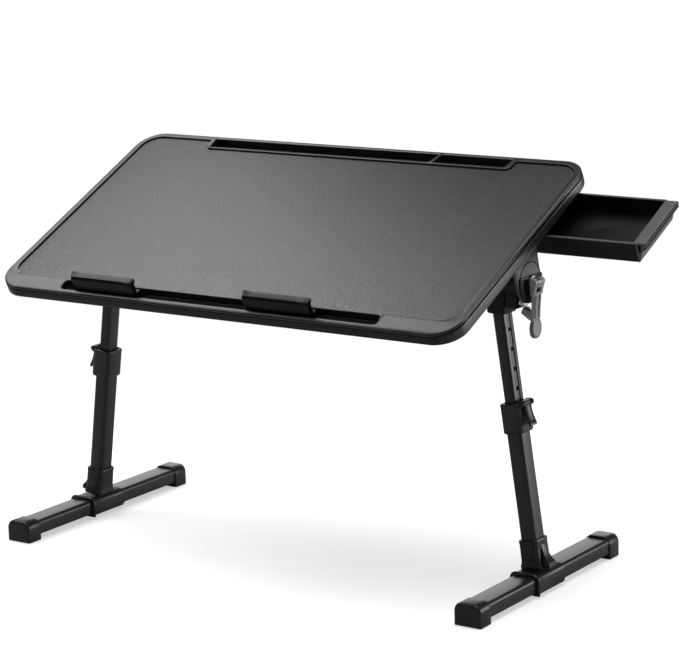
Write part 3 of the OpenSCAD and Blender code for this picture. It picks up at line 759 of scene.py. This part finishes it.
def saddle():
    """Plate that narrows to a round end about the tilt axis. Its outer face steps through circles about the
    axis: a rim, a fine groove, a raised disc and the bore. A thick foot joins it to the base plate."""
    low = UNDER - 2.5
    t = np.radians(np.linspace(184, 356, 41))
    round_end = col(AXIS_V + 23.0 * np.cos(t), AXIS_W + 23.0 * np.sin(t))
    sides = np.array([(23.2, AXIS_W + 2), (28.0, low - 2.6), (27.6, low - 1.8), (-21.2, low - 1.8),
                      (-21.6, low - 2.6), (-22.9, AXIS_W + 2)]) + (AXIS_V, 0)
    outline = evenly(np.concatenate([round_end, sides]), 160)
    a = np.arctan2(outline[:, 1] - AXIS_W, outline[:, 0] - AXIS_V)
    x0, x1 = PIN_X + 34.0, PIN_X + 37.6

    def circle(r, x):
        return level(col(AXIS_V + r * np.cos(a), AXIS_W + r * np.sin(a)), x, "x")
    rings = stack(outline, ((0, x0 + 0.4), (0, x1 - 0.8), (0.25, x1 - 0.2), (0.8, x1)), "x")
    rings += [circle(r, x1 + h) for r, h in
              ((21.7, 0), (21.4, -0.3), (21.3, -1.2), (20.5, -1.2), (20.3, 0.1), (19.9, 0.35), (19.3, 0.4),
               (6.3, 0.4), (6.0, 0.1), (6.0, -0.5), (13.25, -0.5))]
    rings += [circle(13.25, x0 + 0.3), circle(13.6, x0), level(inset(outline, 0.4), x0, "x")]
    foot = rounded([(-24.0, low - 7.0), (-24.6, low), (28.5, low), (27.0, low - 7.0)], [2.5, 0.3, 0.3, 2.5], 5)
    return gather(skin(rings, loop=True), eased(foot + (AXIS_V, 0), PIN_X + 20.0, PIN_X + 35.0, 0.8, "x"))


def screw(at, r, low, high):
    """Pan head with a turned-down rim and a shallow dimple."""
    profile = [(0.01, low + 0.6), (r * 0.3, low + 0.5), (r * 0.45, low), (r * 0.7, low),
               (r * 0.92, low + 0.25), (r, low + 0.8), (r, high)]
    return moved(turned(profile, 28, "z"), (*at, 0))


screws = [screw((hand * (PIN_X + x), AXIS_V + side * 32.6), 3.4, UNDER - 4.3, UNDER - 2.4)
          for hand in (-1, 1) for x in (-21.0, 25.5) for side in (-1, 1)]
piece("plate_screws", gather(*screws), STEEL, "desktop", "bracket_screws", on_desk)
screws = [screw((x, TRAY_V + side * 33), 3.0, -47.2, -46.3) for x in (119.93, 263.57) for side in (-1, 1)]
piece("case_screws", gather(*screws), STEEL, "desktop", "housing_screws", on_desk)
for side, place in (("right", on_desk), ("left", lambda p: other_side(on_desk(p)))):
    piece(f"base_plate_{side}", bracket_base(), BASE, "desktop", f"bracket_base_{side}", place)
    piece(f"saddle_plate_{side}", saddle(), SADDLE, "desktop", f"saddle_{side}", place)


# ---------- tilt head ----------

def yoke():
    """Block with a slot for the leg's plug: two cheeks with a long round corner, a back wall and a roof."""
    cheek = rounded([(-7.4, -23.5), (13.5, -23.5), (13.5, 23), (-9, 23)], [3, 2, 3, 3], 6)
    back = eased(box_loop(3.4, 24, 1.2, 3, (11.8, 0)), -23.5, 23, 0.6)
    roof = eased(box_loop(22.5, 25, 3.2, 5, (2.25, 0)), 12.2, 23, 1.0)
    return gather(roof, back, *twins(cheek, 11.2, 1.3, 0.6))


def drum():
    """Stepped drum with a bore, turned about the tilt axis, and a square skirt below it."""
    body = turned([(2.5, 13.6), (17.3, 13.6), (18.0, 14.3), (18.0, 30.7), (17.3, 31.4), (13.0, 31.4),
                   (13.0, 36.6), (12.6, 37.0), (5.8, 37.0), (5.8, 38.3), (2.5, 38.3)], 72, "x", closed=True)
    return gather(body, eased(box_loop(15.4, 25, 2.6, 5, (21.3, 0)), -28, 2, 0.8))


def detent():
    """Disc with a toothed quadrant below: the radius is r for most of the turn, and R + h |sin| to the
    power 0.8, eleven teeth, over 62 degrees about straight down."""
    a = np.sort(np.concatenate([np.linspace(-121, -59, 133), np.linspace(-58.7, 238.7, 120)]))
    t = np.radians(a)
    tooth = 24.8 + 1.2 * np.abs(np.sin((a + 121) / 62 * 11 * math.pi)) ** 0.8
    r = np.where(np.abs(a + 90) <= 31.01, tooth, 17.4)
    rings = [col(x, q * np.cos(t), q * np.sin(t)) for q, x in
             ((13.2, 31.5), (r - 0.35, 31.5), (r, 31.8), (r, 33.0), (r - 0.35, 33.3), (13.2, 33.3))]
    return skin(rings, loop=True)


def clamp_cover():
    """Round cover cut flat above the axis, and a bell turned about a point below the axis that dishes up
    to a flat hub."""
    cut = math.asin(6.4 / 22.4)
    t = np.linspace(cut, -math.pi - cut, 49)[::-1]
    shell = rounded(col(22.4 * np.cos(t), 22.4 * np.sin(t)), [1.2] + [0.02] * 47 + [1.2], 4)
    plate = eased(shell, 38.2, 39.5, 0.5, "x")
    t = np.linspace(0, 1, 12)
    flare = col(10.6 - 2.0 * np.sin(t * math.pi / 2) ** 0.8, 39.6 + 1.3 * t)
    hub = [(7.6, 41.0), (0.01, 41.0)]
    bell = turned(np.concatenate([[(0.01, 38.9), (10.7, 38.9), (10.9, 39.3)], flare, hub]), 64, "x")
    return gather(plate, moved(bell, (0, 0, -4)))


def rivet():
    """Pin along Y with a low domed head at each end."""
    half = [(0.01, 14.9), (2.2, 14.75), (3.9, 14.3), (4.8, 13.7), (5.0, 13.2), (4.9, 12.6), (3.0, 12.5)]
    return turned(half + [(r, -y) for r, y in half[::-1]], 36, "y")


pair("yoke_block", yoke(), BLACK, "head", ["yoke"], at_pin)
pair("pivot_drum", drum(), BLACK, "head", ["barrel"], at_axis)
pair("clamp_cover", clamp_cover(), BLACK, "head", ["clamp_boss"], at_axis, sharp=30)
washer = turned([(2.5, 41.0), (6.2, 41.0), (6.4, 41.2), (6.4, 41.5), (6.2, 41.65), (2.5, 41.65)],
                32, "x", closed=True)
pair("detent_disc", gather(detent(), washer), TOOTHED, "head", ["clamp_washers"], at_axis)
rod = turned([(0.01, 13.6), (2.3, 13.6), (2.3, 43.6), (0.01, 43.6)], 28, "x")
eye = turned([(1.35, -3.3), (2.8, -3.4), (3.1, -3.1), (3.1, 3.1), (2.8, 3.4), (1.35, 3.3)],
             28, "y", closed=True)
pair("clamp_bolt", gather(rod, moved(eye, LEVER_AT)), STEEL, "head", ["clamp_rod"], at_axis)
pair("fold_rivet", rivet(), STEEL, "head", ["fold_pin"], at_pin)
pair("cam_pin", moved(pin(1.28, 9.6), LEVER_AT), STEEL, "head", ["lever_pin"], at_axis)


# ---------- cam lever ----------

def lever():
    """Round forked head with a window, ribbed shank and notched hook."""
    t = np.radians(np.linspace(8, 178, 15))
    tail = [(-4.0, -1.0), (-3.2, -8.0), (-3.4, -13.2), (0.8, -13.2), (2.2, -6.0), (4.2, -0.6)]
    cheek = rounded(np.concatenate([4.4 * col(np.cos(t), np.sin(t)), tail]), 0.3, 2)
    parts = []
    for side in (-1, 1):
        parts.append(eased(cheek, side * 6.7 - 2.8, side * 6.7 + 2.8, 0.6, "y"))
        ring = np.array([(3.1, -0.2), (2.9, 0.4), (2.3, 0.45), (2.0, 0.2), (1.9, -0.2)]) * (1, side)
        parts.append(moved(turned(ring, 28, "y", closed=True), (0, side * 9.5, 0)))
    # wall that closes the fork above the window, and a raised lip above and below the window
    wall = [(2.0, -4.7), (2.75, -4.7), (4.3, -0.7), (4.4, 0.4), (4.0, 1.9), (3.3, 2.9),
            (3.25, -3.5), (2.0, -3.9)]
    parts.append(eased(rounded(wall, 0.15, 3), -4.2, 4.2, 0.1, "y"))
    y = np.linspace(-4.8, 4.8, 12)
    parts += [bead(col(x, y, z), 0.75) for x, z in ((2.9, -4.3), (1.35, -10.9))]
    # shank: a plate that narrows below the head and is slightly waisted halfway down
    def front(z):
        return np.interp(-z, (10, 27, 46), (1.0, -0.4, -0.7))
    z = np.linspace(-10.6, -46.0, 30)
    k = (z + 10.6) / -35.4
    half = 7.0 + 2.2 * np.clip(1 - k / 0.22, 0, 1) ** 2 - 0.5 * np.sin(k * math.pi)
    back = np.interp(-z, (10, 27, 46), (-3.3, -3.9, -4.4))
    x, y = rounded([(0, -1), (1, -1), (1, 1), (0, 1)], 0.16, 4).T
    parts.append(skin(col(back[:, None] + x * (front(z) - back)[:, None], y * half[:, None], z[:, None])))
    # two scalloped ribs: round bars whose radius waves along the shank
    z = np.linspace(-13.2, -38.6, 60)
    wave = 1.25 + 0.25 * np.sin((z + 13.2) / 2.4 * 2 * math.pi) * np.clip((-16 - z) / 6, 0, 1)
    fade = np.clip(np.minimum((-13.2 - z) / 1.4, (z + 38.6) / 2.0), 0.1, 1)
    for side in (-1, 1):
        parts.append(bead(col(front(z) + 0.2, side * (4.3 + 0.5 * (z + 13.2) / 25.4), z), wave * fade))
    # hook: a stub with a notch near its tip
    hook = rounded([(-2.5, -29.9), (-6.4, -29.5), (-9.8, -30.0), (-11.1, -27.6), (-12.3, -27.3),
                    (-13.1, -29.3), (-14.1, -27.1), (-15.2, -27.0), (-18.3, -34.0), (-9.0, -40.0),
                    (-3.0, -43.0)], [0.3, 1.0, 1.0, 0.5, 0.4, 0.4, 0.4, 0.6, 1.2, 2.0, 0.4], 4)
    parts.append(eased(hook, -3.4, 3.4, 0.5, "y"))
    return moved(gather(*parts), LEVER_AT)


def paddle(*steps):
    """Stacked ovals at the lever's lower end, each given by its inset and its distance outwards."""
    t = np.arange(56) * 2 * math.pi / 56
    oval = col(9.3 * np.sign(np.cos(t)) * np.abs(np.cos(t)) ** 0.9,
               -49.0 + 10.6 * np.sign(np.sin(t)) * np.abs(np.sin(t)) ** 0.9)
    return moved(skin(stack(oval, steps, "x")), LEVER_AT)


pair("cam_lever", lever(), GREY, "lever", ["clamp_lever"], at_axis, sharp=40)
pair("lever_paddle", paddle((1.6, -5.1), (0.5, -4.8), (0.0, -4.0), (0.0, -1.6), (0.4, -0.7), (1.1, -0.35),
                            (1.8, -0.5), (2.4, -1.1)), PADDLE, "lever", [], at_axis, sharp=40)
pair("paddle_face", paddle((1.7, -1.6), (1.7, -0.9), (2.1, -0.6), (4.2, -0.8)), PADDLE_FACE, "lever",
     [], at_axis, sharp=50)


# ---------- legs ----------

GROOVE, DEEP = 2.6, 0.7                     # half width and depth of the inner tube's groove
HOLE_AT = 42.5 + 21.0 * np.arange(6)
HOLE_HALF = 10.5                            # half the distance between two holes


def tube_section(w, d, r):
    """Tube outline with a flat-bottomed groove and two fine ridges on its outer face, from one side of the
    groove's floor round to the other."""
    side = [(-DEEP, GROOVE), (0, GROOVE + 0.3), (0.18, GROOVE + 0.7), (0, GROOVE + 1.2), (-0.5, d / 2)]
    half = [(w / 2 + a, b) for a, b in side] + [(-w / 2, d / 2)]
    other = [(a, -b) for a, b in half[::-1]]
    other[1] = (w / 2, -d / 2)      # this corner keeps its full width
    return rounded(half + other, [0, 0.1, 0.1, 0.3, r, r, r, 1.6, 0.3, 0.1, 0.1, 0], 4)


def inner_tube():
    """Tube with a recessed face strip and round holes. The strip is made of square-to-circle patches:
    each ray from a hole's middle runs from the circle to the strip's edge."""
    w, d, wall = 13.5, 19.0, 1.5
    low, high = 12.0, 186.0
    span = HOLE_AT[0] - HOLE_HALF, HOLE_AT[-1] + HOLE_HALF
    k = math.atan(HOLE_HALF / GROOVE)
    long = np.linspace(-k, k, 13)
    short = np.linspace(k, math.pi - k, 5)[1:-1]
    angle = np.concatenate([long, short, math.pi + long, math.pi + short])
    side, top = np.full(len(long), GROOVE), np.full(len(short), HOLE_HALF)
    edge_y = np.concatenate([side, top / np.tan(short), -side, -top / np.tan(short)])
    edge_s = np.concatenate([side * np.tan(long), top, -side * np.tan(long), -top])
    x = w / 2 - DEEP
    mix = np.array([0.0, 0.45, 1.0])[:, None]
    ring_y, ring_s = 2.2 * np.cos(angle), 2.4 * np.sin(angle)
    y = ring_y + mix * (edge_y - ring_y)
    z = ring_s + mix * (edge_s - ring_s)
    patch = skin(np.concatenate([col(x - wall, y[:1], z[:1]), col(x, y, z)]), ends=False)
    shapes = [moved(patch, (0, 0, s)) for s in HOLE_AT]
    rows = [low, low + 0.4, span[1], high - 0.4, high, *(HOLE_AT[:, None] + side * np.tan(long)).ravel()]
    rows = np.unique(np.round(rows, 5))
    section = tube_section(w, d, 2.8)
    inside, small = inset(section, wall), inset(section, 0.35)
    ring = [level(small if z in (rows[0], rows[-1]) else section, z) for z in rows]
    shapes.append(skin(ring, ends=False, around=False))
    for ends in ((low, span[0]), (span[1], high)):
        strip = [[(x, y, z) for y in (GROOVE, 0, -GROOVE)] for z in ends]
        shapes.append(skin(strip, ends=False, around=False))
    shapes.append(skin([level(inside, z) for z in (low, high)], ends=False))
    shapes += [skin([level(small, z), level(inside, z)], ends=False) for z in (low, high)]
    return gather(*shapes)


def outer_tube():
    """Plain round-cornered tube."""
    return hollow(box_loop(18.6, 23, 5.0, 6), box_loop(14.7, 20.1, 2.6, 6), 122, 292, 0.5)


def hinge_block():
    """Plug in the yoke's slot with a round end about the fold pin, and a block that goes into the tube."""
    plug = rounded([(-6.7, 12.0), (-6.7, 0.0), (-6.0, -4.4), (0.0, -6.7), (6.0, -4.4), (6.7, 0.0), (6.7, 12.0)],
                   [0.2, 2.5, 3.5, 3.5, 3.5, 2.5, 0.2], 5)
    block = eased(box_loop(10.3, 15.8, 1, 3), 11, 30, 0.3)
    return gather(skin([level(plug, y, "y") for y in (-9.5, 9.5)]), block)


pair("hinge_block", hinge_block(), TUBE, "leg", ["hinge_plug"], down_leg)
pair("slide_tube", inner_tube(), TUBE, "leg", ["inner_tube"], down_leg, sharp=30)
pair("lower_tube", outer_tube(), TUBE, "foot", ["outer_tube"], down_leg, sharp=40)


SEAT = box_loop(18.7, 23.1, 5.0, 5)         # bore that holds the lower tube


def collar():
    """Sleeve with an open round rim, a rolled lip at its top, and two ears for the height lever."""
    mouth = box_loop(16.2, 21.6, 2.2, 5)
    rings = [level(box_loop(24.0 + 2 * g, 28.4 + 2 * g, 5.2 + g, 5, (0.7, 0)), z) for g, z in
             ((-0.5, 119.6), (0.0, 120.0), (0.25, 120.8), (0.25, 122.0), (0, 122.8), (0, 149.6),
              (-0.2, 150.6), (-0.8, 151.6), (-1.4, 152.0))]
    rings += stack(SEAT, ((-0.4, 152.0), (0, 151.6), (0, 122.4)))
    rings += stack(mouth, ((0, 122.2), (0, 120.6), (-0.6, 119.6)))
    ear = rounded([(9.4, 117.4), (14.8, 117.4), (18.4, 119.2), (18.4, 122.8), (14.8, 124.8), (9.4, 124.8)],
                  [0.3, 2.0, 1.8, 1.8, 2.0, 0.3], 4)
    return gather(skin(rings, loop=True), *twins(ear, 8.6, 1.4, 0.4))


def height_lever():
    """Flap hinged at its top: its section across the leg is a dished plate with a raised frame, and it
    flares outwards towards its lower end."""
    s = np.linspace(-3.2, 24.0, 30)[:, None]
    k = (s + 3.2) / 27.2
    reach = 2.3 + 0.6 * k + 7.4 * np.clip(k - 0.3, 0, 1) ** 1.7
    half = 6.5 - 0.9 * np.sin(k * math.pi) + 0.5 * k
    y = np.concatenate([np.linspace(-1, -0.74, 4), np.linspace(-0.66, 0.66, 9), np.linspace(0.74, 1, 4)])
    frame = np.clip(1 - np.abs(y) / 0.78, 0, 1) ** 0.5
    close = np.clip(np.minimum(k / 0.12, (1 - k) / 0.14), 0, 1)
    dish = 1.5 * frame * np.clip(np.minimum((k - 0.08) / 0.1, (0.93 - k) / 0.1), 0, 1)
    edge = 0.6 * (np.clip((np.abs(y) - 0.86) / 0.14, 0, 1) ** 2)
    top = col(reach - dish - edge - 0.9 * (1 - close) ** 2, half * y, s)
    low = col(reach - 3.0 - 0.6 * (1 - k), half * y, s)[:, ::-1]
    knuckle = turned([(1.5, -6.6), (2.5, -6.6), (2.7, -6.3), (2.7, 6.3), (2.5, 6.6), (1.5, 6.6)],
                     28, "y", closed=True)
    return moved(gather(skin(np.concatenate([top, low], 1)), knuckle), FLAP_AT)


pair("tube_collar", collar(), MOULDED, "foot", ["collar"], down_leg, sharp=38)
pair("height_flap", height_lever(), MOULDED, "height_lever", ["lock_lever"], down_leg, sharp=38)
pair("flap_pin", moved(pin(1.48, 9.9, 20), FLAP_AT), STEEL, "foot", ["lock_pin"], down_leg)


# ---------- feet ----------

def arch(w, low, high, top, r=1.2):
    """Rectangle with small corners below and wide ones above."""
    return rounded([(w / 2, low), (w / 2, high), (-w / 2, high), (-w / 2, low)], [r, top, top, r], 6)


def socket():
    """Boot at the end of the tube: a mouth with a rolled rim, four plain walls that widen into the sleeve,
    a raised panel on the front and rear faces and a gusset on the outer face."""
    rings = stack(SEAT, ((0, 291.9), (0, 267.0), (-0.5, 266.4)))
    rings += [level(box_loop(22.6 + 2 * g, 26.6 + 2 * g, 4.6, 5), s) for g, s in
              ((-0.5, 266.4), (0, 267.0), (0.2, 268.4), (0.1, 270.0), (-0.1, 271.0), (0, 280), (0.1, 288),
               (0.4, 291.5), (1.2, 294.2), (1.2, 297))]
    gusset = skin([level(box_loop(0.8 + k * 6.4, 8 + 5 * k, 0.38, 3, (11.2 + k * 3.2, 0)), s) for s, k in
                   ((273.5, 0.0), (278, 0.18), (284, 0.45), (289, 0.85), (292.5, 1.3), (297, 1.3))])
    panel = rounded([(-6.2, 272.5), (6.2, 272.5), (7.0, 289), (-7.0, 289)], 1.6, 4)
    return gather(skin(rings), gusset, *twins(panel, 13.2, 0.5, 0.4))


BAR = arch(29, 6, 22.5, 4.4)                # section of the foot's bar
AROUND_BAR = arch(29.1, 5.9, 22.6, 4.4)     # bore of what goes over it


def foot_sleeve():
    """Sleeve round the bar: a curled bead at its front end and a small step at its rear end."""
    rings = [level(arch(29 + 2 * g, 6 - g, 22.5 + g, 4.4 + g), y, "y") for g, y in
             ((1.5, -33.0), (2.9, -32.7), (3.6, -31.8), (3.7, -30.6), (3.2, -29.4), (2.3, -28.6),
              (2.0, -27.6), (2.0, 22.4), (2.1, 22.8), (1.2, 23.2), (1.1, 26.2), (0.8, 26.5))]
    rings += stack(AROUND_BAR, ((0, 26.5), (0, -33.0)), "y")
    return skin(rings, loop=True)


def end_cap(side):
    """Cap with round shoulders: sections grow from a soft nose to the mouth over the bar, and its
    sides reach the floor."""
    sections = []
    for g, y in ((-3.4, 0.0), (-1.9, 0.25), (-0.9, 0.8), (-0.3, 1.7), (0.0, 2.9), (0.0, 19.6),
                 (-0.1, 21.2), (-0.5, 21.9), (-0.9, 22.0)):
        outline = arch(32 + 2 * g, max(-g * 0.7, 0.0), 25 + g, 9.0 + 0.6 * g, 1.0)
        sections.append(level(outline, side * (147 - y), "y"))
    return skin(sections + stack(AROUND_BAR, ((0, side * 125.0), (0, side * 131.0)), "y"))


pair("tube_socket", socket(), MOULDED, "foot", ["socket"], down_leg, sharp=38)
pair("bar_sleeve", foot_sleeve(), MOULDED, "foot", ["foot_sleeve"], at_foot, sharp=38)
pair("cross_bar", hollow(BAR, inset(BAR, 1.0), -130.9, 130.9, 0.3, "y"),
     TUBE, "foot", ["foot_bar"], at_foot, sharp=38)
pair("front_cap", end_cap(-1), CAP, "foot", ["cap_front"], at_foot, sharp=38)
pair("rear_cap", end_cap(1), CAP, "foot", ["cap_rear"], at_foot, sharp=38)

for name, finish in (("desk_board", LAMINATE), ("board_wings", LAMINATE), ("runners", HOUSING)):
    mesh = frame["nodes"][name].data
    mesh.materials.clear()
    mesh.materials.append(finish)


# ---------- floor, light and camera ----------

def floor():
    """Pale floor that shows as plain white and keeps the object's soft shadow."""
    mesh = bpy.data.meshes.new("floor")
    size, drop = 40.0, -0.0005
    mesh.from_pydata([(-size, -size, drop), (size, -size, drop), (size, size, drop), (-size, size, drop)],
                     [], [(0, 1, 2, 3)])
    obj = linked("floor", mesh)
    material = bpy.data.materials.new("pale_floor")
    n = Nodes(material)
    paint = n.add("BsdfDiffuse", {"Color": (0.64, 0.64, 0.64, 1)})
    glow = n.add("Emission", {"Strength": 0.51})
    white = n.add("Emission")
    muted = n.add("BsdfDiffuse", {"Color": (0.45, 0.45, 0.45, 1)})
    place = n.add("TexCoord", out="Object")
    reach = n.add("VectorMath", {0: place}, "Value", operation="LENGTH")
    spread = n.add("MapRange", {"Value": reach, "From Min": 0.55, "From Max": 1.3},
                   interpolation_type="SMOOTHSTEP")
    near = n.add("AddShader", {0: paint, 1: glow})
    seen = n.add("MixShader", {0: spread, 1: near, 2: white})
    camera_ray = n.add("LightPath", out="Is Camera Ray")
    both = n.add("MixShader", {0: camera_ray, 1: muted, 2: seen})
    n.add("OutputMaterial", {"Surface": both})
    mesh.materials.append(material)


def studio():
    """White backdrop for the camera, soft grey light for everything else."""
    world = bpy.data.worlds.new("studio")
    bpy.context.scene.world = world
    n = Nodes(world)
    white = n.add("Background", {"Color": (1, 1, 1, 1)})
    soft = n.add("Background", {"Color": (1, 1, 1, 1), "Strength": 0.16})
    camera_ray = n.add("LightPath", out="Is Camera Ray")
    both = n.add("MixShader", {0: camera_ray, 1: soft, 2: white})
    n.add("OutputWorld", {"Surface": both})


def lamp(name, at, toward, width, height, power, turn=0.0):
    """Rectangular soft lamp aimed at a point and turned in its own plane."""
    data = bpy.data.lights.new(name, "AREA")
    data.shape, data.size, data.size_y, data.energy = "RECTANGLE", width, height, power
    obj = linked(name, data)
    obj.location = at
    aim = (Vector(toward) - Vector(at)).to_track_quat("-Z", "Y")
    obj.rotation_euler = (aim.to_matrix() @ Matrix.Rotation(math.radians(turn), 3, "Z")).to_euler()


def camera():
    """Long lens from the right front, a little above the desktop's edge."""
    turn, lift, roll = (math.radians(a) for a in (34.88258706727671, 12.109439321710667, -1.6343954129318004))
    back = Vector((math.sin(turn) * math.cos(lift), -math.cos(turn) * math.cos(lift), math.sin(lift)))
    right = Vector((math.cos(turn), math.sin(turn), 0))
    up = back.cross(right)
    side = math.cos(roll) * right + math.sin(roll) * up
    rise = -math.sin(roll) * right + math.cos(roll) * up
    target = Vector((52.552502 + MID[0], MID[1], 259.061037)) / 1000
    data = bpy.data.cameras.new("camera")
    focal, across, film = 2565.67100687262, 679, 36     # pixels, pixels and millimetres
    data.lens, data.sensor_width, data.sensor_fit = focal * film / across, film, "HORIZONTAL"
    data.clip_end = 100
    obj = linked("camera", data)
    place = Matrix((side, rise, back)).transposed().to_4x4()
    distance = 2.804641674850733
    place.translation = target + back * distance
    obj.matrix_world = place
    bpy.context.scene.camera = obj


bpy.context.scene.view_settings.view_transform = "Standard"
floor()
studio()
lamp("key_softbox", (-0.93, -0.09, 1.22), (-0.20, -0.22, 0.30), 1.25, 0.72, 12.5, -22)
lamp("overhead", (0.3, -0.2, 2.5), (0, 0, 0.2), 2.2, 2.2, 60)
lamp("rear_left_box", (-1.5, 2.3, 0.8), (0, 0, 0.2), 2.0, 1.2, 14)
lamp("rear_right_box", (2.2, 1.7, 0.35), (0.25, 0, 0.2), 1.5, 1.2, 46)
camera()
